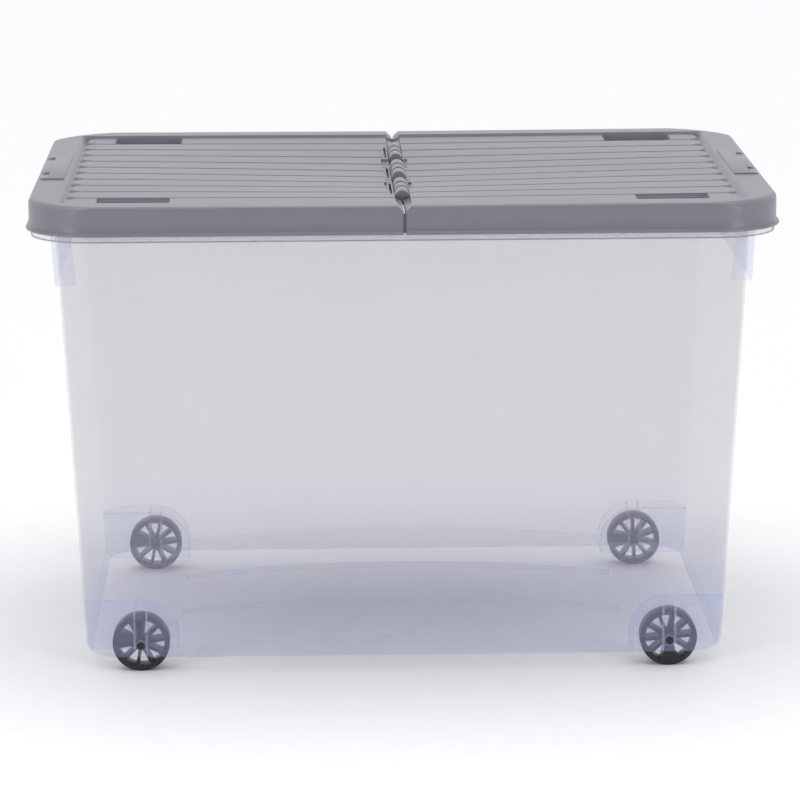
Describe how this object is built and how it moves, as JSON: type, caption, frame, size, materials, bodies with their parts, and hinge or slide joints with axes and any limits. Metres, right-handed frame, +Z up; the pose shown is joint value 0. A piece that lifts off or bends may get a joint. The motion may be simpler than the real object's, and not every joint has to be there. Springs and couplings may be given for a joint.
{
  "type": "wheeled storage box",
  "caption": "Deep wheeled storage box: a clear tapered tub on small corner wheels, with a grey lid that folds along a middle hinge and latches over both ends.",
  "frame": {"origin": "middle of the footprint, on the ground under the wheels", "axes": "+X along the box's length, to the hinged half on the right; -Y the front; +Z up"},
  "size_m": [0.7906, 0.58, 0.5107],
  "materials": {
    "tub_plastic": "clear, slightly milky",
    "lid_plastic": "satin grey",
    "wheel_plastic": "black, smooth"
  },
  "bodies": {
    "tub": {"tub": "tub_plastic", "axle_front_left": "wheel_plastic", "axle_front_right": "wheel_plastic", "axle_rear_left": "wheel_plastic", "axle_rear_right": "wheel_plastic"},
    "lid_left": {"lid_left": "lid_plastic"},
    "lid_right": {"lid_right": "lid_plastic"},
    "latch_left": {"latch_left": "lid_plastic"},
    "latch_right": {"latch_right": "lid_plastic"},
    "wheel_front_left": {"wheel_front_left": "wheel_plastic"},
    "wheel_front_right": {"wheel_front_right": "wheel_plastic"},
    "wheel_rear_left": {"wheel_rear_left": "wheel_plastic"},
    "wheel_rear_right": {"wheel_rear_right": "wheel_plastic"}
  },
  "joints": [
    {"name": "lid_lift", "type": "slide", "parent": "tub", "child": "lid_left", "axis": [0, 0, 1], "range_m": [0, 0.12]},
    {"name": "lid_fold", "type": "hinge", "parent": "lid_left", "child": "lid_right", "pos_m": [0, 0, 0.5013], "axis": [0, -1, 0], "range_deg": [0, 90]},
    {"name": "latch_left_turn", "type": "hinge", "parent": "lid_left", "child": "latch_left", "pos_m": [-0.3865, 0, 0.5035], "axis": [0, 1, 0], "range_deg": [0, 100]},
    {"name": "latch_right_turn", "type": "hinge", "parent": "lid_right", "child": "latch_right", "pos_m": [0.3865, 0, 0.5035], "axis": [0, -1, 0], "range_deg": [0, 100]},
    {"name": "wheel_front_left_spin", "type": "hinge", "parent": "tub", "child": "wheel_front_left", "pos_m": [-0.282, -0.222, 0.0305], "axis": [0, 1, 0], "continuous": true},
    {"name": "wheel_front_right_spin", "type": "hinge", "parent": "tub", "child": "wheel_front_right", "pos_m": [0.282, -0.222, 0.0305], "axis": [0, 1, 0], "continuous": true},
    {"name": "wheel_rear_left_spin", "type": "hinge", "parent": "tub", "child": "wheel_rear_left", "pos_m": [-0.282, 0.222, 0.0305], "axis": [0, 1, 0], "continuous": true},
    {"name": "wheel_rear_right_spin", "type": "hinge", "parent": "tub", "child": "wheel_rear_right", "pos_m": [0.282, 0.222, 0.0305], "axis": [0, 1, 0], "continuous": true}
  ]
}
